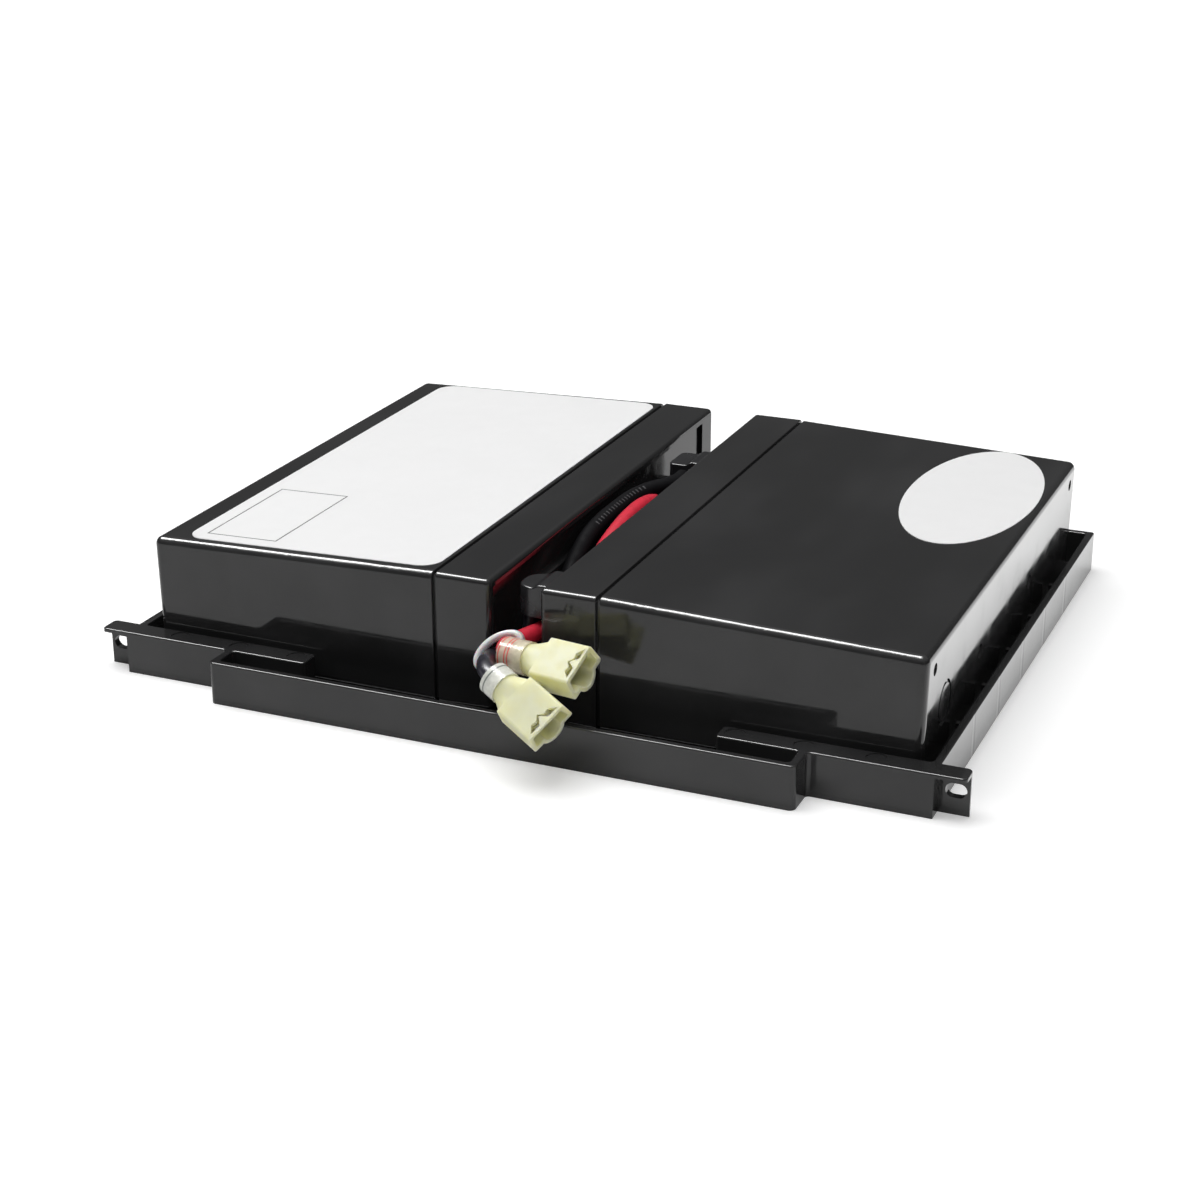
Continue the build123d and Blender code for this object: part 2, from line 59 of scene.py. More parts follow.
Inputs = Dict[Union[str, int], Any]     # what goes to a node's sockets, by name or number

LOG = logging.getLogger("cartridge")
MM = 0.001
ROOT = "root"
WHITE = (1.0, 1.0, 1.0, 1.0)
BATTERY_FRONT_Y = -72.25          # where the routes below measure from, in millimetres


class Side(Enum):
    """Which of the two batteries."""

    LEFT = "left"
    RIGHT = "right"


class Pole(Enum):
    """Which terminal of a battery."""

    NEGATIVE = "negative"
    POSITIVE = "positive"


def metres(points: Sequence[Point]) -> List[Vector]:
    """Turn route points into the part's frame.

    Args:
        points: Millimetres across, back from the batteries' front face, and up.

    Returns:
        The same points in metres.
    """
    return [Vector((x, y + BATTERY_FRONT_Y, z)) * MM for x, y, z in points]


class Value:
    """A number socket that takes part in Python expressions."""

    def __init__(self, book: "NodeBook", socket: Socket) -> None:
        """Wrap one output socket of the book's tree."""
        self.book = book
        self.socket = socket

    def _math(self, operation: str, *operands: Union["Value", Number]) -> "Value":
        """Add one Math node.

        Args:
            operation: The Math node's operation.
            operands: Its inputs in order.

        Returns:
            The node's result.
        """
        node = self.book.node("ShaderNodeMath", {"operation": operation}, dict(enumerate(operands)))
        return Value(self.book, node.outputs[0])

    def __add__(self, other: Union["Value", Number]) -> "Value":
        """Sum."""
        return self._math("ADD", self, other)

    __radd__ = __add__

    def __sub__(self, other: Union["Value", Number]) -> "Value":
        """Difference."""
        return self._math("SUBTRACT", self, other)

    def __rsub__(self, other: Number) -> "Value":
        """Difference the other way round."""
        return self._math("SUBTRACT", other, self)

    def __mul__(self, other: Union["Value", Number]) -> "Value":
        """Product."""
        return self._math("MULTIPLY", self, other)

    __rmul__ = __mul__

    def ramp(self, low: float, high: float, start: float = 0.0, end: float = 1.0) -> "Value":
        """Smooth step between two levels.

        Args:
            low: Input at which the result is start.
            high: Input at which the result is end.
            start: Result at and below low.
            end: Result at and above high.

        Returns:
            The stepped value.
        """
        node = self.book.node(
            "ShaderNodeMapRange",
            {"interpolation_type": "SMOOTHSTEP"},
            {"Value": self, "From Min": low, "From Max": high, "To Min": start, "To Max": end},
        )
        return Value(self.book, node.outputs["Result"])

    def root(self) -> "Value":
        """Square root."""
        return self._math("SQRT", self)


class NodeBook:
    """A node tree that is written one call at a time."""

    MIX_FACTOR, MIX_FIRST, MIX_SECOND, MIX_RESULT = 0, 6, 7, 2      # a Mix node's sockets for colours

    def __init__(self, tree: bpy.types.NodeTree) -> None:
        """Start from an empty tree."""
        self.tree = tree
        tree.nodes.clear()

    def node(
        self,
        kind: str,
        settings: Optional[Dict[str, Any]] = None,
        inputs: Optional[Inputs] = None,
    ) -> bpy.types.Node:
        """Add a node.

        Args:
            kind: The node's type name.
            settings: Properties to set first.
            inputs: Socket names or numbers, with a value, a socket or a Value for each.

        Returns:
            The new node.
        """
        made = self.tree.nodes.new(kind)
        for name, value in (settings or {}).items():
            setattr(made, name, value)
        for name, value in (inputs or {}).items():
            self.feed(made.inputs[name], value)
        return made

    def feed(self, socket: Socket, value: Any) -> None:
        """Link a socket or set its constant.

        Args:
            socket: The input to fill.
            value: A constant, an output socket or a Value.
        """
        if isinstance(value, Value):
            value = value.socket
        if isinstance(value, Socket):
            self.tree.links.new(value, socket)
        else:
            socket.default_value = value

    def place(self) -> Socket:
        """Object coordinates, in metres."""
        return self.node("ShaderNodeTexCoord").outputs["Object"]

    def axis(self, vector: Socket, name: str) -> Value:
        """One component of a vector socket."""
        return Value(self, self.node("ShaderNodeSeparateXYZ", None, {0: vector}).outputs[name])

    def noise(self, size: float, detail: float = 2.0, stretch: Point = (1.0, 1.0, 1.0)) -> Value:
        """Cloudy noise whose features are about one size.

        Args:
            size: Feature size in metres.
            detail: Number of finer octaves.
            stretch: Factors on the size along each axis.

        Returns:
            The noise, around one half.
        """
        scale = tuple(1.0 / (size * s) for s in stretch)
        mapped = self.node(
            "ShaderNodeMapping", {"vector_type": "POINT"}, {"Vector": self.place(), "Scale": scale},
        )
        node = self.node(
            "ShaderNodeTexNoise", {"noise_dimensions": "3D"},
            {"Vector": mapped.outputs[0], "Scale": 1.0, "Detail": detail, "Roughness": 0.55},
        )
        return Value(self, node.outputs[0])

    def blend(self, factor: Union[Value, float], first: Any, second: Any) -> Socket:
        """Mix two colours.

        Args:
            factor: 0 gives the first, 1 the second.
            first: Colour or colour socket.
            second: Colour or colour socket.

        Returns:
            The mixed colour.
        """
        first, second = ((*c, 1.0) if isinstance(c, tuple) else c for c in (first, second))
        node = self.node(
            "ShaderNodeMix", {"data_type": "RGBA"},
            {self.MIX_FACTOR: factor, self.MIX_FIRST: first, self.MIX_SECOND: second},
        )
        return node.outputs[self.MIX_RESULT]

    def bump(self, height: Value, depth: float, under: Optional[Socket] = None) -> Socket:
        """Raise the surface by a height between 0 and 1.

        Args:
            height: The relief.
            depth: Its full height in metres.
            under: A normal from another bump to build on.

        Returns:
            The bumped normal.
        """
        inputs: Inputs = {"Height": height, "Distance": depth, "Strength": 1.0}
        if under is not None:
            inputs["Normal"] = under
        return self.node("ShaderNodeBump", None, inputs).outputs[0]


def shaded(tint: Colour, share: float) -> Colour:
    """A colour with a share of its brightness."""
    return tuple(c * share for c in tint)


def new_material(name: str) -> Tuple[bpy.types.Material, NodeBook]:
    """Make an empty material.

    Args:
        name: The finish's name.

    Returns:
        The material and the book of its tree.
    """
    material = bpy.data.materials.new(name)
    material.use_nodes = True
    return material, NodeBook(material.node_tree)


@dataclass(frozen=True)
class Finish:
    """A finish of one colour; each kind describes its own surface."""

    name: str
    tint: Colour

    def surface(self, book: NodeBook) -> Inputs:
        """The inputs of the material's shader, which each kind of finish gives."""
        raise NotImplementedError

    def make(self) -> bpy.types.Material:
        """Build the material.

        Returns:
            The finished material.
        """
        material, book = new_material(self.name)
        shader = book.node("ShaderNodeBsdfPrincipled", None, self.surface(book))
        book.node("ShaderNodeOutputMaterial", None, {"Surface": shader.outputs[0]})
        return material


@dataclass(frozen=True)
class MouldedPlastic(Finish):
    """Polished injection-moulded plastic with faint flow, sink and handling marks."""

    gloss: float                    # roughness of the cleanest areas
    haze: float                     # roughness of the handled areas
    sink_depth: float               # slow waves left by cooling
    grain_depth: float              # fine texture of the mould
    ribs: Tuple[float, ...] = ()    # where ribs behind the side walls leave a sink line, along Y
    wall_x: float = 0.0             # the walls' outer faces, from the middle

    FLOW, SMUDGE, SINK, GRAIN = 30 * MM, 9 * MM, 22 * MM, 0.22 * MM     # sizes of the marks
    RIB_SINK = 0.05 * MM            # depth of a sink line
    RIB_HALF = 1.3 * MM             # half its width
    SKIN = (0.6 * MM, 0.4 * MM)     # depths inside the outer face between which the lines fade in

    def surface(self, book: NodeBook) -> Inputs:
        """Describe the surface.

        Args:
            book: The material's tree.

        Returns:
            The shader's inputs.
        """
        flow = book.noise(self.FLOW, 2.0, (1.0, 2.6, 1.0))
        smudge = book.noise(self.SMUDGE, 4.0)
        sink = book.noise(self.SINK, 0.0)
        grain = book.noise(self.GRAIN, 1.0)
        pale = tuple(min(1.0, c * 1.5 + 0.002) for c in self.tint)
        colour = book.blend(flow.ramp(0.35, 0.75), self.tint, pale)
        roughness = smudge.ramp(0.42, 0.72, self.gloss, self.haze)
        normal = book.bump(sink, self.sink_depth)
        if self.ribs:
            normal = book.bump(self.rib_lines(book), self.RIB_SINK, normal)
        normal = book.bump(grain, self.grain_depth, normal)
        return {"Base Color": colour, "Roughness": roughness, "Normal": normal, "IOR": 1.52}

    def rib_lines(self, book: NodeBook) -> Value:
        """Shallow upright hollows in the side walls, one over each rib.

        Args:
            book: The material's tree.

        Returns:
            The relief, 1 on the plain wall.
        """
        spot = book.place()
        across, along = book.axis(spot, "X"), book.axis(spot, "Y")
        deep, shallow = (self.wall_x - depth for depth in self.SKIN)
        outside = (across * across).ramp(deep ** 2, shallow ** 2)
        relief: Union[Value, float] = 1.0
        for rib in self.ribs:
            away = (along - rib) * (along - rib)
            relief = relief - outside * away.ramp(0.0, self.RIB_HALF ** 2, 1.0, 0.0)
        return relief


@dataclass(frozen=True)
class LabelFilm(Finish):
    """White film with a satin face and a faint tooth."""

    CLOUD, TOOTH = 18 * MM, 0.35 * MM
    TOOTH_DEPTH = 0.004 * MM

    def surface(self, book: NodeBook) -> Inputs:
        """Describe the surface.

        Args:
            book: The material's tree.

        Returns:
            The shader's inputs.
        """
        cloud = book.noise(self.CLOUD, 3.0)
        tooth = book.noise(self.TOOTH, 2.0)
        return {
            "Base Color": book.blend(cloud.ramp(0.3, 0.8), self.tint, shaded(self.tint, 0.965)),
            "Roughness": cloud.ramp(0.3, 0.7, 0.38, 0.5),
            "Normal": book.bump(tooth, self.TOOTH_DEPTH),
            "Specular IOR Level": 0.25,
        }


@dataclass(frozen=True)
class WireSkin(Finish):
    """Extruded vinyl insulation with a slight drag grain."""

    deep: Colour
    gloss: float
    shine: float = 0.5              # specular level

    MOTTLE, DRAG = 2.4 * MM, 0.3 * MM
    DRAG_DEPTH = 0.012 * MM

    def surface(self, book: NodeBook) -> Inputs:
        """Describe the surface.

        Args:
            book: The material's tree.

        Returns:
            The shader's inputs.
        """
        mottle = book.noise(self.MOTTLE, 3.0)
        drag = book.noise(self.DRAG, 1.0, (1.0, 8.0, 1.0))
        return {
            "Base Color": book.blend(mottle.ramp(0.3, 0.75), self.tint, self.deep),
            "Roughness": mottle.ramp(0.3, 0.7, self.gloss, self.gloss + 0.14),
            "Normal": book.bump(drag, self.DRAG_DEPTH),
            "Specular IOR Level": self.shine,
            "IOR": 1.5,
        }


@dataclass(frozen=True)
class NaturalNylon(Finish):
    """Unfilled ivory nylon: milky, lit from inside, a little uneven in colour."""

    warm: Colour

    CLOUD, RIPPLE = 5 * MM, 1.6 * MM
    RIPPLE_DEPTH = 0.02 * MM
    LIGHT_REACH = 3.0 * MM          # how far light travels inside

    def surface(self, book: NodeBook) -> Inputs:
        """Describe the surface.

        Args:
            book: The material's tree.

        Returns:
            The shader's inputs.
        """
        cloud = book.noise(self.CLOUD, 2.0)
        ripple = book.noise(self.RIPPLE, 2.0)
        return {
            "Base Color": book.blend(cloud.ramp(0.35, 0.7), self.tint, self.warm),
            "Roughness": cloud.ramp(0.3, 0.7, 0.42, 0.56),
            "Normal": book.bump(ripple, self.RIPPLE_DEPTH),
            "Specular IOR Level": 0.2,
            "Subsurface Weight": 0.85,
            "Subsurface Radius": (1.0, 0.95, 0.6),
            "Subsurface Scale": self.LIGHT_REACH,
            "IOR": 1.5,
        }


@dataclass(frozen=True)
class TieNylon(Finish):
    """White nylon, a little cloudy and lit from inside."""

    CLOUD, RIPPLE = 2.5 * MM, 0.5 * MM
    RIPPLE_DEPTH = 0.01 * MM
    LIGHT_REACH = 1.0 * MM          # how far light travels inside

    def surface(self, book: NodeBook) -> Inputs:
        """Describe the surface.

        Args:
            book: The material's tree.

        Returns:
            The shader's inputs.
        """
        cloud = book.noise(self.CLOUD, 2.0)
        ripple = book.noise(self.RIPPLE, 1.0)
        return {
            "Base Color": book.blend(cloud.ramp(0.3, 0.7), self.tint, shaded(self.tint, 0.93)),
            "Roughness": cloud.ramp(0.3, 0.7, 0.3, 0.45),
            "Normal": book.bump(ripple, self.RIPPLE_DEPTH),
            "Subsurface Weight": 0.4,
            "Subsurface Scale": self.LIGHT_REACH,
            "IOR": 1.5,
        }


@dataclass(frozen=True)
class ClearTube(Finish):
    """Clear vinyl tube, slightly clouded, that shows the cut end of the lead inside it as thin rings."""

    stain: Colour                   # colour of the lead where it shows through
    cover: float                    # share of the light that the wall itself returns
    mouth: Point                    # of the connector, in millimetres as the routes are measured
    axis: Point                     # out of that mouth
    rings: Tuple[float, ...]        # behind the mouth, in millimetres
    ring_width: float = 0.32

    CLOUD, CREASE = 2 * MM, 1.1 * MM
    CREASE_DEPTH = 0.05 * MM

    def surface(self, book: NodeBook) -> Inputs:
        """Describe the surface.

        Args:
            book: The material's tree.

        Returns:
            The shader's inputs.
        """
        cloud = book.noise(self.CLOUD, 3.0)
        crease = book.noise(self.CREASE, 1.0, (0.4, 1.5, 1.5))
        spot = book.place()
        axis = Vector(self.axis).normalized()
        start = metres([self.mouth])[0].dot(axis)
        depth = (start - sum(book.axis(spot, name) * part for name, part in zip("XYZ", axis))) * (1 / MM)
        marks: Union[Value, float] = 0.0
        for ring in self.rings:
            near = (depth - ring) * (depth - ring)
            marks = marks + near.ramp(0.0, self.ring_width ** 2, 1.0, 0.0)
        cover = cloud.ramp(0.3, 0.7, self.cover, self.cover + 0.18)
        return {
            "Base Color": book.blend(marks, self.tint, self.stain),
            "Roughness": 0.12,
            "Alpha": cover + marks * 0.4,
            "Normal": book.bump(crease, self.CREASE_DEPTH),
            "IOR": 1.45,
        }


@dataclass(frozen=True)
class StampedMetal(Finish):
    """Plated sheet metal with fine rolling marks and dull patches."""

    gloss: float

    ROLLED, PATCH = 0.4 * MM, 3 * MM
    ROLLED_DEPTH = 0.006 * MM

    def surface(self, book: NodeBook) -> Inputs:
        """Describe the surface.

        Args:
            book: The material's tree.

        Returns:
            The shader's inputs.
        """
        rolled = book.noise(self.ROLLED, 2.0, (10.0, 1.0, 1.0))
        patch = book.noise(self.PATCH, 3.0)
        return {
            "Base Color": book.blend(patch.ramp(0.4, 0.75), self.tint, shaded(self.tint, 0.78)),
            "Metallic": 1.0,
            "Roughness": patch.ramp(0.3, 0.7, self.gloss, self.gloss + 0.2),
            "Normal": book.bump(rolled, self.ROLLED_DEPTH),
        }


@dataclass(frozen=True)
class FoamTape(Finish):
    """Closed-cell foam with a pitted cut edge."""

    CELL = 0.35 * MM
    PIT_DEPTH = 0.06 * MM

    def surface(self, book: NodeBook) -> Inputs:
        """Describe the surface.

        Args:
            book: The material's tree.

        Returns:
            The shader's inputs.
        """
        cells = book.noise(self.CELL, 2.0)
        return {
            "Base Color": book.blend(cells.ramp(0.35, 0.65), self.tint, shaded(self.tint, 0.8)),
            "Roughness": 0.85,
            "Normal": book.bump(cells, self.PIT_DEPTH),
        }


@dataclass(frozen=True)
class PrintInk(Finish):
    """Thin ink, broken where the roller missed."""

    WEAR = 0.5 * MM

    def surface(self, book: NodeBook) -> Inputs:
        """Describe the surface.

        Args:
            book: The material's tree.

        Returns:
            The shader's inputs.
        """
        wear = book.noise(self.WEAR, 2.0)
        worn = shaded(self.tint, 0.6)
        return {"Base Color": book.blend(wear.ramp(0.4, 0.65), self.tint, worn), "Roughness": 0.55}


class Finishes:
    """All the materials, one for each finish of the real thing, and a darker copy of the black insulation
    that paints the channel's shade onto the jumper.
    """

    BLACK = (0.0215, 0.0215, 0.022)
    RIB_MIDDLE, RIB_PITCH, RIBS_EACH_WAY = 3.25 * MM, 24.0 * MM, 2     # the tray's side ribs, along Y
    WALL_OUTER_X = 105.2 * MM

    def __init__(self) -> None:
        """Build every material once."""
        each_way = range(-self.RIBS_EACH_WAY, self.RIBS_EACH_WAY + 1)
        self.tray = MouldedPlastic(
            "tray_black", self.BLACK, gloss=0.07, haze=0.15, sink_depth=0.03 * MM, grain_depth=0.0012 * MM,
            ribs=tuple(self.RIB_MIDDLE + self.RIB_PITCH * i for i in each_way), wall_x=self.WALL_OUTER_X,
        ).make()
        self.battery = MouldedPlastic(
            "battery_black", self.BLACK, gloss=0.06, haze=0.13, sink_depth=0.025 * MM, grain_depth=0.001 * MM,
        ).make()
        self.boot = MouldedPlastic(
            "boot_vinyl", (0.016, 0.016, 0.0175), gloss=0.2, haze=0.3, sink_depth=0.02 * MM,
            grain_depth=0.004 * MM,
        ).make()
        self.label = LabelFilm("label_film", (0.87, 0.87, 0.87)).make()
        self.red = WireSkin(
            "red_skin", (0.72, 0.026, 0.055), deep=(0.6, 0.018, 0.042), gloss=0.34, shine=0.22,
        ).make()
        self.black = WireSkin(
            "black_skin", (0.022, 0.02, 0.032), deep=(0.014, 0.013, 0.02), gloss=0.28,
        ).make()
        # painted shade: the jumper is the same black insulation as the black lead, tinted darker to stand for
        # the shade inside the channel
        self.jumper = WireSkin(
            "jumper_skin_painted_shade", (0.006, 0.006, 0.007), deep=(0.004, 0.004, 0.005), gloss=0.6, shine=0.06,
        ).make()
        self.nylon = NaturalNylon("ivory_nylon", (0.88, 0.87, 0.55), warm=(0.86, 0.83, 0.47)).make()
        self.red_tube = ClearTube(
            "red_lead_tube", (0.95, 0.88, 0.7), stain=(0.75, 0.16, 0.14), cover=0.45,
            mouth=(23.8, -13.8, 24.3), axis=(0.962, -0.26, 0.06), rings=(19.6, 20.5, 22.4),
        ).make()
        self.black_tube = ClearTube(
            "black_lead_tube", (0.96, 0.97, 0.9), stain=(0.2, 0.22, 0.2), cover=0.6,
            mouth=(21.0, -26.3, 15.1), axis=(0.874, -0.362, -0.327), rings=(18.9,),
        ).make()
        self.tie = TieNylon("tie_nylon", (0.9, 0.9, 0.9)).make()
        self.tin = StampedMetal("tin_plate", (0.76, 0.75, 0.72), gloss=0.24).make()
        self.brass = StampedMetal("sheet_brass", (0.8, 0.62, 0.32), gloss=0.26).make()
        self.foam = FoamTape("foam_tape", (0.72, 0.72, 0.7)).make()
        self.ink = PrintInk("wire_ink", (0.05, 0.05, 0.055)).make()
        self.rule = PrintInk("label_rule", (0.08, 0.08, 0.085)).make()


def dress(node: str, material: bpy.types.Material) -> None:
    """Give a CAD node its finish.

    Args:
        node: The node's name.
        material: The finish.
    """
    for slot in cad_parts[node].material_slots:
        slot.material = material
    LOG.info("%s: %s", node, material.name)


def mesh_piece(name: str, mesh: bpy.types.Mesh, material: bpy.types.Material) -> bpy.types.Object:
    """Put a finished mesh in the scene.

    Args:
        name: The piece's name.
        mesh: Its mesh, already in place.
        material: Its finish.

    Returns:
        The new object.
    """
    mesh.materials.clear()
    mesh.materials.append(material)
    piece = bpy.data.objects.new(name, mesh)
    bpy.context.scene.collection.objects.link(piece)
    return piece


class GeometryBook(NodeBook):
    """A geometry tree with named inputs, which leaves a plain mesh."""

    def __init__(self, name: str, start: str, inputs: Dict[str, str], result: str) -> None:
        """Start an empty tree with its sockets.

        Args:
            name: The tree's name.
            start: Name of the geometry that comes in.
            inputs: Kind of socket for each named input.
            result: Name of the geometry that goes out.
        """
        super().__init__(bpy.data.node_groups.new(name, "GeometryNodeTree"))
        face = self.tree.interface
        face.new_socket(start, in_out="INPUT", socket_type="NodeSocketGeometry")
        self.identifiers = {
            word: face.new_socket(word, in_out="INPUT", socket_type=f"NodeSocket{kind}").identifier
            for word, kind in inputs.items()
        }
        face.new_socket(result, in_out="OUTPUT", socket_type="NodeSocketGeometry")
        self.entry = self.node("NodeGroupInput").outputs

    def step_along(self, line: Socket, pitch: Socket) -> Any:
        """The outputs of a node that sets points at equal steps along a line."""
        inputs = {"Curve": line, "Length": pitch}
        return self.node("GeometryNodeCurveToPoints", {"mode": "LENGTH"}, inputs).outputs

    def copies(self, points: Socket, shape: Socket, turn: Socket) -> Socket:
        """Real copies of a shape, one on each point."""
        placed = self.node(
            "GeometryNodeInstanceOnPoints", None, {"Points": points, "Instance": shape, "Rotation": turn},
        )
        return self.node("GeometryNodeRealizeInstances", None, {"Geometry": placed.outputs[0]}).outputs[0]

    def close(self, geometry: Socket, material: Socket) -> None:
        """Give the result its material and send it out."""
        made = self.node("GeometryNodeSetMaterial", None, {"Geometry": geometry, "Material": material})
        self.node("NodeGroupOutput", None, {0: made.outputs[0]})

    def run(self, carrier: bpy.types.Object, values: Dict[str, Any], name: str) -> bpy.types.Mesh:
        """Run the tree on an object, which is removed afterwards.

        Args:
            carrier: What the tree starts from.
            values: A value for each named input.
            name: The mesh's name.

        Returns:
            The result as a plain mesh.
        """
        modifier = carrier.modifiers.new(name, "NODES")
        modifier.node_group = self.tree
        for word, value in values.items():
            modifier[self.identifiers[word]] = value
        graph = bpy.context.evaluated_depsgraph_get()
        mesh = bpy.data.meshes.new_from_object(carrier.evaluated_get(graph), depsgraph=graph)
        mesh.name = name
        carrier.modifiers.clear()
        bpy.data.objects.remove(carrier)
        return mesh


@dataclass
class Tray:
    """The tray moulding and the tape on its floor."""

    finishes: Finishes

    def build(self) -> None:
        """Dress the tray and its tape."""
        dress("tray", self.finishes.tray)
        for side in Side:
            dress(f"{side.value}_tape_strips", self.finishes.foam)


@dataclass
class Battery:
    """One sealed battery with its lid, label, terminals and boots."""

    side: Side
    finishes: Finishes

    def build(self) -> None:
        """Dress every piece of the battery."""
        word = self.side.value
        for piece in ("battery_case", "battery_lid", "vent_cover"):
            dress(f"{word}_{piece}", self.finishes.battery)
        dress(f"{word}_label", self.finishes.label)
        for pole in Pole:
            dress(f"{word}_{pole.value}_terminal", self.finishes.tin)
            dress(f"{word}_{pole.value}_receptacle", self.finishes.brass)
            dress(f"{word}_{pole.value}_boot", self.finishes.boot)


@dataclass
class FrontBoot:
    """The soft boot at the front of the channel: a rounded nose with an S-shaped shoulder on top."""

    vinyl: bpy.types.Material
    node: str = "right_negative_boot"
    crest: float = 2.2 * MM          # run of the upper level, next to the lid
    drop_run: float = 2.4 * MM
    drop: float = 1.0 * MM
    rim: float = 0.5 * MM
    squareness: float = 2.7          # of the plan, where 2 is an ellipse
    spans: int = 30                  # from the lid to the nose
    rim_steps: int = 4

    def fall(self, out: float) -> float:
        """How far the top has dropped at a distance out from the lid."""
        share = min(1.0, max(0.0, (out - self.crest) / self.drop_run))
        return self.drop * share * share * (3 - 2 * share)

    def plan(self, inset: float) -> List[Tuple[float, float]]:
        """Outline of the boot seen from above.

        Args:
            inset: How far it is drawn in, as a share of its size.

        Returns:
            Points out from the lid, 0 to 1, and along it, -1 to 1, from one side of the nose to the other.
        """
        power = 2 / self.squareness
        points = []
        for i in range(2 * self.spans + 1):
            turn = math.pi * i / (2 * self.spans)
            out, along = max(0.0, math.sin(turn)) ** power, abs(math.cos(turn)) ** power
            points.append((out * (1 - inset), math.copysign(along * (1 - inset), math.cos(turn))))
        return points

    def build(self) -> None:
        """Make the boot as a closed shell in place of its plain solid."""
        low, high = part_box(self.node)
        reach, half, tall = high.x - low.x, (high.y - low.y) / 2, high.z - low.z
        middle = (high.y + low.y) / 2
        shape = bmesh.new()

        def ring(inset: float, from_top: Optional[float]) -> List[bmesh.types.BMVert]:
            """Set one level of the wall.

            Args:
                inset: How far it is drawn in.
                from_top: Its depth below the top, or None at the foot.

            Returns:
                The level's points, from one side of the nose to the other.
            """
            verts = []
            for out, along in self.plan(inset / half):
                height = 0.0 if from_top is None else tall - self.fall(out * reach) - from_top
                verts.append(shape.verts.new((high.x - out * reach, middle + along * half, low.z + height)))
            return verts

        rings = [ring(0.0, None)]
        for i in range(self.rim_steps + 1):
            turn = math.pi / 2 * i / self.rim_steps
            rings.append(ring(self.rim * (1 - math.cos(turn)), self.rim * (1 - math.sin(turn))))
        last = 2 * self.spans
        for lower, upper in zip(rings, rings[1:]):
            for i in range(last):
                shape.faces.new((lower[i], lower[i + 1], upper[i + 1], upper[i]))
        flat = [shape.faces.new([level[0] for level in rings] + [level[last] for level in reversed(rings)])]
        for level in (rings[0], rings[-1]):
            for i in range(self.spans):
                corners = [level[i], level[i + 1], level[last - i - 1], level[last - i]]
                cap = shape.faces.new(corners if i < self.spans - 1 else [corners[0], corners[1], corners[3]])
                if level is rings[0]:
                    flat.append(cap)
        for face in shape.faces:
            face.smooth = True
        for face in flat:
            for edge in face.edges:
                edge.smooth = False
        bmesh.ops.recalc_face_normals(shape, faces=shape.faces)
        mesh = bpy.data.meshes.new("front_boot")
        shape.to_mesh(mesh)
        shape.free()
        piece = mesh_piece("front_boot", mesh, self.vinyl)
        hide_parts(self.node)
        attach(piece, ROOT)
        LOG.info("front_boot: %d faces", len(mesh.polygons))


@dataclass
class BlankPanel:
    """A plain ruled box on the left label, left empty."""

    finishes: Finishes
    from_seam: float = 46.0 * MM
    from_front: float = 4.0 * MM
    size: Tuple[float, float] = (20.0 * MM, 37.0 * MM)
    line: float = 0.35 * MM
    height: float = 0.02 * MM
    fall: float = math.radians(1.77)    # of the label, away from the seam

    def build(self) -> None:
        """Rule the box as a thin closed frame that lies on the label."""
        low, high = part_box("left_label")
        seam = Vector((high.x, low.y, high.z))
        mesh = bpy.data.meshes.new("label_panel_rule")
        shape = bmesh.new()
        width, length = self.size
        ends = [(inset, width - inset, length - inset) for inset in (0.0, self.line)]
        outer, inner = ([(near, near), (wide, near), (wide, far), (near, far)] for near, wide, far in ends)
        bottom_out, bottom_in, top_out, top_in = (
            [shape.verts.new((x, y, z)) for x, y in ring]
            for z in (-self.height, self.height)
            for ring in (outer, inner)
        )
        for i in range(4):
            j = (i + 1) % 4
            shape.faces.new((top_out[i], top_out[j], top_in[j], top_in[i]))
            shape.faces.new((bottom_out[j], bottom_out[i], bottom_in[i], bottom_in[j]))
            shape.faces.new((bottom_out[i], bottom_out[j], top_out[j], top_out[i]))
            shape.faces.new((bottom_in[j], bottom_in[i], top_in[i], top_in[j]))
        bmesh.ops.recalc_face_normals(shape, faces=shape.faces)
        slope = Matrix.Translation(seam) @ Matrix.Rotation(-self.fall, 4, "Y")
        corner = Matrix.Translation((-self.from_seam - width, self.from_front, 0))
        shape.transform(slope @ corner)
        shape.to_mesh(mesh)
        shape.free()
        piece = mesh_piece("label_panel_rule", mesh, self.finishes.rule)
        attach(piece, ROOT)
        LOG.info("label_panel_rule: %d faces", len(mesh.polygons))


@dataclass
class Lead:
    """A round lead along one smooth line."""

    name: str
    node: str
    route: Sequence[Point]
    material: bpy.types.Material
    slot: str
    diameter: float = 4.4 * MM

    def line(self, thick: bool) -> bpy.types.Object:
        """Draw the route as a NURBS curve.

        Args:
            thick: Whether the curve has the lead's thickness.

        Returns:
            The curve object.
        """
        curve = bpy.data.curves.new(self.name, "CURVE")
        curve.dimensions = "3D"
        points = metres(self.route)
        spline = curve.splines.new("NURBS")
        spline.points.add(len(points) - 1)
        for point, place in zip(spline.points, points):
            point.co = (*place, 1.0)
        spline.order_u = 3
        spline.use_endpoint_u = True
        curve.resolution_u = 12
        if thick:
            curve.bevel_depth = self.diameter / 2
            curve.bevel_resolution = 8
            curve.use_fill_caps = True
            curve.materials.append(self.material)
        piece = bpy.data.objects.new(self.name, curve)
        bpy.context.scene.collection.objects.link(piece)
        return piece

    def build(self, length: float, pieces: Sequence[bpy.types.Object]) -> None:
        """Lay the lead as a curve in place of its solid.

        Args:
            length: Its real length in metres; not used.
            pieces: What is on its far end; not used.
        """
        piece = self.line(thick=True)
        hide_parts(self.node)
        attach(piece, ROOT)
        metres(self.route)[0]
        LOG.info("%s: %d route points", self.name, len(self.route))


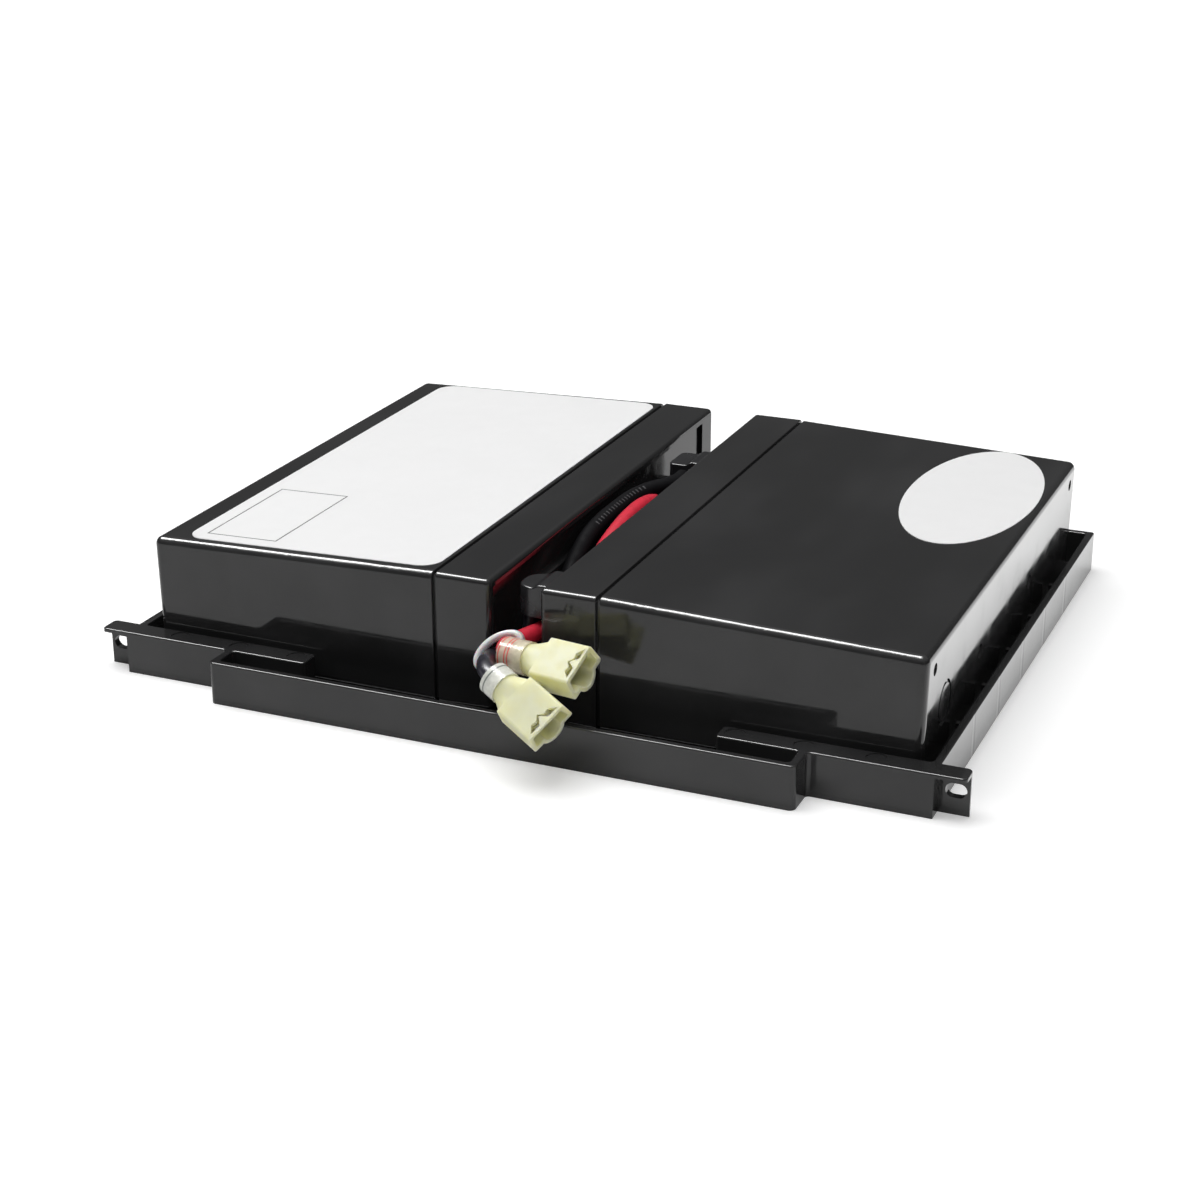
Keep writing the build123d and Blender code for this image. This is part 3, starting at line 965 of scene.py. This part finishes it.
@dataclass
class Connector:
    """A one-pole connector: housing, contact and clear sleeve."""

    word: str
    finishes: Finishes
    tube: bpy.types.Material

    @property
    def nodes(self) -> List[str]:
        """The connector's nodes."""
        return [f"{self.word}_connector_{piece}" for piece in ("housing", "contact", "sleeve")]

    def build(self) -> None:
        """Dress the connector."""
        for node, finish in zip(self.nodes, (self.finishes.nylon, self.finishes.tin, self.tube)):
            dress(node, finish)


@dataclass
class PrintTicks:
    """Plain printed ticks along a lead, set out by geometry nodes."""

    name: str
    lead: Lead
    ink: bpy.types.Material
    facing: Point
    first: float                     # shares of the lead at which the ticks begin and end
    last: float
    pitch: float = 1.7 * MM
    tick: Tuple[float, float, float] = (0.5 * MM, 1.1 * MM, 0.05 * MM)
    rows: int = 7                    # of points across a tick, which let it follow the lead

    TRIM_FIRST, TRIM_LAST = 2, 3     # a Trim Curve node's sockets for shares

    def tree(self) -> GeometryBook:
        """Write the tree: points along the line, a tick on each, turned to face outwards.

        Returns:
            The tree's book.
        """
        book = GeometryBook(
            f"{self.name}_tree", "Line",
            {
                "Pitch": "Float", "Radius": "Float", "Tick": "Vector", "Facing": "Vector", "First": "Float",
                "Last": "Float", "Ink": "Material",
            },
            "Ticks",
        )
        entry = book.entry
        trimmed = book.node(
            "GeometryNodeTrimCurve", {"mode": "FACTOR"},
            {"Curve": entry["Line"], self.TRIM_FIRST: entry["First"], self.TRIM_LAST: entry["Last"]},
        )
        points = book.step_along(trimmed.outputs[0], entry["Pitch"])
        along = book.node("FunctionNodeAlignRotationToVector", {"axis": "X"}, {"Vector": points["Tangent"]})
        outward = book.node(
            "FunctionNodeAlignRotationToVector", {"axis": "Z", "pivot_axis": "X"},
            {"Rotation": along.outputs[0], "Vector": entry["Facing"]},
        )
        bar = book.node("GeometryNodeMeshCube", None, {"Size": entry["Tick"], "Vertices Y": self.rows})
        across = book.axis(book.node("GeometryNodeInputPosition").outputs[0], "Y")
        radius = Value(book, entry["Radius"])
        lift = book.node("ShaderNodeCombineXYZ", None, {"Z": (radius * radius - across * across).root()})
        raised = book.node(
            "GeometryNodeSetPosition", None, {"Geometry": bar.outputs["Mesh"], "Offset": lift.outputs[0]},
        )
        ticks = book.copies(points["Points"], raised.outputs[0], outward.outputs[0])
        book.close(ticks, entry["Ink"])
        return book

    def build(self) -> None:
        """Run the tree on the lead's line and keep the result as a plain mesh."""
        values = {
            "Pitch": self.pitch, "Radius": self.lead.diameter / 2, "Tick": self.tick, "Facing": self.facing,
            "First": self.first, "Last": self.last, "Ink": self.ink,
        }
        mesh = self.tree().run(self.lead.line(thick=False), values, self.name)
        piece = mesh_piece(self.name, mesh, self.ink)
        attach(piece, ROOT)
        LOG.info("%s: %d faces", self.name, len(mesh.polygons))


@dataclass
class CableTie:
    """The toothed strap round both leads, with its square head underneath."""

    finishes: Finishes
    middle: Point = (-2.1, -4.1, 21.4)          # millimetres, as the routes are measured
    along: Point = (0.745, 0.27, 0.61)          # from the black lead to the red one
    width_way: Point = (0.1, -0.945, 0.3)       # along the leads
    long: float = 6.2 * MM                      # half sizes of the loop
    short: float = 3.25 * MM
    thickness: float = 1.4 * MM
    width: float = 2.2 * MM
    pitch: float = 0.62 * MM
    tooth: Tuple[float, float, float] = (0.5 * MM, 2.0 * MM, 0.26 * MM)
    head: Tuple[float, float, float] = (4.0 * MM, 2.8 * MM, 3.2 * MM)
    head_shift: float = -0.4 * MM
    head_round: float = 0.35 * MM
    steps: int = 96                             # round the loop

    def tree(self) -> GeometryBook:
        """Write the tree: an oval line, a strap swept along it and teeth on its inner face.

        Returns:
            The tree's book.
        """
        book = GeometryBook(
            "tie_strap_tree", "Mesh",
            {
                "Oval": "Vector", "Thickness": "Float", "Width": "Float", "Pitch": "Float", "Tooth": "Vector",
                "Nylon": "Material",
            },
            "Strap",
        )
        entry = book.entry
        circle = book.node(
            "GeometryNodeCurvePrimitiveCircle", {"mode": "RADIUS"}, {"Resolution": self.steps, "Radius": 1.0},
        )
        oval = book.node(
            "GeometryNodeTransform", None, {"Geometry": circle.outputs[0], "Scale": entry["Oval"]},
        )
        line = book.node("GeometryNodeSetCurveNormal", {"mode": "Z_UP"}, {"Curve": oval.outputs[0]})
        section = book.node(
            "GeometryNodeCurvePrimitiveQuadrilateral", {"mode": "RECTANGLE"},
            {"Width": entry["Thickness"], "Height": entry["Width"]},
        )
        strap = book.node(
            "GeometryNodeCurveToMesh", None, {"Curve": line.outputs[0], "Profile Curve": section.outputs[0]},
        )
        points = book.step_along(line.outputs[0], entry["Pitch"])
        bar = book.node("GeometryNodeMeshCube", None, {"Size": entry["Tooth"]})
        inner_face = Value(book, entry["Thickness"]) * -0.5     # X points out of the loop
        lift = book.node("ShaderNodeCombineXYZ", None, {"X": inner_face})
        raised = book.node(
            "GeometryNodeTransform", None, {"Geometry": bar.outputs["Mesh"], "Translation": lift.outputs[0]},
        )
        teeth = book.copies(points["Points"], raised.outputs[0], points["Rotation"])
        both = book.node("GeometryNodeJoinGeometry")
        for part in (strap.outputs[0], teeth):
            book.feed(both.inputs[0], part)
        book.close(both.outputs[0], entry["Nylon"])
        return book

    def place(self) -> Matrix:
        """Work out the loop's own frame: X along the loop, Z along the leads.

        Returns:
            The frame as a matrix.
        """
        x, z = Vector(self.along).normalized(), Vector(self.width_way)
        z = (z - x * x.dot(z)).normalized()
        turn = Matrix((x, z.cross(x), z)).transposed().to_4x4()
        return Matrix.Translation(metres([self.middle])[0]) @ turn

    def build(self) -> bpy.types.Object:
        """Make the strap and its head in place of the plain tie.

        Returns:
            The tie.
        """
        carrier = bpy.data.objects.new("tie_carrier", bpy.data.meshes.new("tie_carrier"))
        bpy.context.scene.collection.objects.link(carrier)
        values = {
            "Oval": (self.long, self.short, 1.0), "Thickness": self.thickness, "Width": self.width,
            "Pitch": self.pitch, "Tooth": self.tooth, "Nylon": self.finishes.tie,
        }
        mesh = self.tree().run(carrier, values, "tie_strap")
        shape = bmesh.new()
        shape.from_mesh(mesh)
        drop = -(self.short + self.thickness / 2 + self.head[1] / 2)
        corner = Matrix.Translation((self.head_shift, drop, 0.0)) @ Matrix.Diagonal((*self.head, 1.0))
        block = bmesh.ops.create_cube(shape, size=1.0, matrix=corner)["verts"]
        edges = list({edge for vert in block for edge in vert.link_edges})
        bmesh.ops.bevel(shape, geom=edges, offset=self.head_round, segments=3, profile=0.5, affect="EDGES")
        shape.transform(self.place())
        bmesh.ops.recalc_face_normals(shape, faces=shape.faces)
        shape.to_mesh(mesh)
        shape.free()
        piece = mesh_piece("tie_strap", mesh, self.finishes.tie)
        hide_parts("cable_tie")
        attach(piece, ROOT)
        LOG.info("tie_strap: %d faces", len(mesh.polygons))
        return piece


@dataclass
class Wiring:
    """The two free leads with their connectors, and the jumper in the channel."""

    finishes: Finishes

    RED_ROUTE = [
        (-2.0, 105.0, 8.5), (-2.0, 101.5, 8.5), (-1.2, 98.0, 12.0), (0.3, 94.5, 18.6), (1.8, 90.5, 25.4),
        (2.7, 84.5, 30.8), (2.9, 75.5, 33.4), (2.9, 65.0, 33.6), (2.8, 54.5, 31.9), (2.8, 44.5, 29.2),
        (3.1, 34.0, 26.4), (3.6, 24.5, 24.4), (4.4, 16.0, 23.6), (4.4, 9.5, 23.3), (2.2, 3.0, 23.3),
        (0.7, -1.2, 23.3), (-0.3, -3.9, 23.1), (0.3, -6.2, 22.95), (1.93, -7.89, 22.94), (5.4, -8.83, 23.15),
    ]
    BLACK_ROUTE = [
        (-0.2, 11.0, 27.3), (-0.2, 11.0, 22.8), (-1.4, 9.5, 18.6), (-3.2, 5.0, 17.4), (-4.0, 0.0, 18.2),
        (-4.3, -4.5, 19.6), (-3.0, -8.8, 20.6), (-1.4, -13.0, 21.9), (1.18, -18.09, 22.52),
        (4.32, -19.39, 21.34),
    ]
    JUMPER_ROUTE = [
        (2.0, 105.0, 31.2), (2.0, 100.5, 31.2), (0.6, 95.0, 31.6), (-2.0, 89.5, 31.9), (-4.0, 82.0, 31.8),
        (-4.1, 72.0, 31.9), (-4.1, 62.0, 31.8), (-4.0, 53.0, 30.8), (-3.6, 44.0, 27.6), (-3.4, 36.0, 22.2),
        (-3.2, 29.5, 16.0), (-2.6, 24.0, 10.8), (-2.0, 20.0, 8.5), (-2.0, 16.0, 8.5),
    ]
    RED_LENGTH = 0.1307              # of the wires, in metres
    BLACK_LENGTH = 0.0422

    def build(self) -> None:
        """Lay the leads, make the tie, dress the connectors and print the ticks."""
        red = Lead("red_wire", "red_lead", self.RED_ROUTE, self.finishes.red, "red_insulation")
        black = Lead("black_wire", "black_lead", self.BLACK_ROUTE, self.finishes.black, "black_insulation")
        jumper = Lead(
            "jumper_wire", "jumper_lead", self.JUMPER_ROUTE, self.finishes.jumper, "black_insulation",
        )
        tie = CableTie(self.finishes).build()
        for word, lead, length, tube, more in (
            ("red", red, self.RED_LENGTH, self.finishes.red_tube, [tie]),
            ("black", black, self.BLACK_LENGTH, self.finishes.black_tube, []),
        ):
            connector = Connector(word, self.finishes, tube)
            connector.build()
            lead.build(length, [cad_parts[node] for node in connector.nodes] + more)
        dress(jumper.node, jumper.material)
        PrintTicks(
            "jumper_ticks", jumper, self.finishes.ink, facing=(0.5, 0.0, 0.87), first=0.2, last=0.5,
        ).build()


@dataclass(frozen=True)
class Softbox:
    """A rectangular lamp."""

    name: str
    place: Point
    aim: Point
    size: Tuple[float, float]
    power: float                     # watts
    lights_surfaces: bool = True     # False where only polished faces mirror it

    def hang(self) -> None:
        """Put the lamp in the scene."""
        data = bpy.data.lights.new(self.name, "AREA")
        data.shape = "RECTANGLE"
        data.size, data.size_y = self.size
        data.energy = self.power
        lamp = bpy.data.objects.new(self.name, data)
        lamp.location = self.place
        lamp.rotation_euler = (Vector(self.aim) - Vector(self.place)).to_track_quat("-Z", "Y").to_euler()
        lamp.visible_diffuse = self.lights_surfaces
        bpy.context.scene.collection.objects.link(lamp)


@dataclass
class Studio:
    """Camera, lamps, floor and backdrop."""

    lens: float = 69.21              # millimetres, like the sensor
    sensor: float = 36.0
    eye: Point = (217.13, -528.46, 234.9)       # millimetres
    right: Point = (0.91980, 0.39237, -0.00206)
    up: Point = (-0.14382, 0.34203, 0.92863)
    back: Point = (0.36507, -0.85386, 0.37103)
    softboxes: Tuple[Softbox, ...] = (
        Softbox("overhead", (-0.25, -0.05, 1.0), (0, 0, 0), (0.7, 1.0), 8.6),
        Softbox("strip", (-0.33, -0.02, 0.8), (-0.02, 0.0, 0.03), (0.3, 0.8), 16.0, lights_surfaces=False),
    )
    floor_size: float = 6.0
    floor_drop: float = 0.05 * MM
    paper: float = 0.82              # tone of the floor
    near_glow: float = 0.35          # light that whitens the floor for the camera
    far_glow: float = 0.7            # what is added to it far from the object
    far_span: Tuple[float, float] = (0.06, 0.7)         # its start and end, as squared distances
    mirror_glow: float = 0.06        # of the floor as polished faces mirror it
    card_glow: float = 3.0           # of a pale card beside the tray, which only they mirror
    card_inner: Tuple[float, float] = (0.095, 0.14)     # its edge next to the tray, along X
    card_fade: Tuple[float, float] = (0.112, 0.132)     # where it dims, along X
    card_outer_share: float = 0.32
    card_front: Tuple[float, float] = (-0.12, -0.02)    # its front edge, along Y
    card_back: Tuple[float, float] = (0.03, 0.16)       # where its rear part dims, along Y
    card_back_share: float = 0.82
    room_rise: Tuple[float, float] = (0.33, 0.95)       # how far up a direction points
    room_tones: Tuple[float, float] = (0.092, 0.62)

    def camera(self) -> None:
        """Set the camera to the photograph's place and lens."""
        data = bpy.data.cameras.new("camera")
        data.sensor_width = self.sensor
        data.lens = self.lens
        data.clip_start, data.clip_end = 0.01, 50.0
        turn = Matrix((self.right, self.up, self.back)).transposed().to_4x4()
        camera = bpy.data.objects.new("camera", data)
        camera.matrix_world = Matrix.Translation(Vector(self.eye) * MM) @ turn
        bpy.context.scene.collection.objects.link(camera)
        bpy.context.scene.camera = camera

    def floor(self) -> None:
        """Lay a pale floor that shows white and keeps the object's shadow."""
        half = self.floor_size / 2
        mesh = bpy.data.meshes.new("floor")
        corners = [(-half, -half), (half, -half), (half, half), (-half, half)]
        mesh.from_pydata([(x, y, -self.floor_drop) for x, y in corners], [], [(0, 1, 2, 3)])
        material, book = new_material("floor_white")
        path = book.node("ShaderNodeLightPath").outputs
        seen = Value(book, path["Is Camera Ray"])
        mirrored = Value(book, path["Is Glossy Ray"]) + Value(book, path["Is Transmission Ray"])
        spot = book.place()
        across, along = book.axis(spot, "X"), book.axis(spot, "Y")
        card = across.ramp(*self.card_inner) * across.ramp(*self.card_fade, 1.0, self.card_outer_share)
        card = card * along.ramp(*self.card_front) * along.ramp(*self.card_back, 1.0, self.card_back_share)
        far = (across * across + along * along).ramp(*self.far_span)
        for_camera = seen * (far * self.far_glow + self.near_glow)
        for_mirrors = mirrored * (card * self.card_glow + self.mirror_glow)
        paper = book.node("ShaderNodeBsdfDiffuse", None, {"Color": (self.paper, self.paper, self.paper, 1.0)})
        glow = book.node("ShaderNodeEmission", None, {"Color": WHITE, "Strength": for_camera + for_mirrors})
        both = book.node("ShaderNodeAddShader", None, {0: paper.outputs[0], 1: glow.outputs[0]})
        book.node("ShaderNodeOutputMaterial", None, {"Surface": both.outputs[0]})
        floor = mesh_piece("floor", mesh, material)

    def world(self) -> None:
        """Surround the object with white for the camera and a soft grey room for its reflections."""
        world = bpy.data.worlds.new("studio")
        world.use_nodes = True
        bpy.context.scene.world = world
        book = NodeBook(world.node_tree)
        path = book.node("ShaderNodeLightPath").outputs
        seen = Value(book, path["Is Camera Ray"]) + Value(book, path["Is Transmission Ray"])
        height = book.axis(book.node("ShaderNodeTexCoord").outputs["Generated"], "Z")
        room = height.ramp(*self.room_rise, *self.room_tones)
        strength = seen + (1 - seen) * room
        shade = book.node("ShaderNodeBackground", None, {"Color": WHITE, "Strength": strength})
        book.node("ShaderNodeOutputWorld", None, {"Surface": shade.outputs[0]})

    def build(self) -> None:
        """Set up the whole studio."""
        bpy.context.scene.view_settings.view_transform = "Standard"
        self.camera()
        for softbox in self.softboxes:
            softbox.hang()
        self.floor()
        self.world()


def main() -> None:
    """Build the classes in order."""
    logging.basicConfig(level=logging.INFO, format="%(name)s %(message)s")
    finishes = Finishes()
    Studio().build()
    Tray(finishes).build()
    for side in Side:
        Battery(side, finishes).build()
    FrontBoot(finishes.boot).build()
    BlankPanel(finishes).build()
    Wiring(finishes).build()


if __name__ == "__main__":
    main()
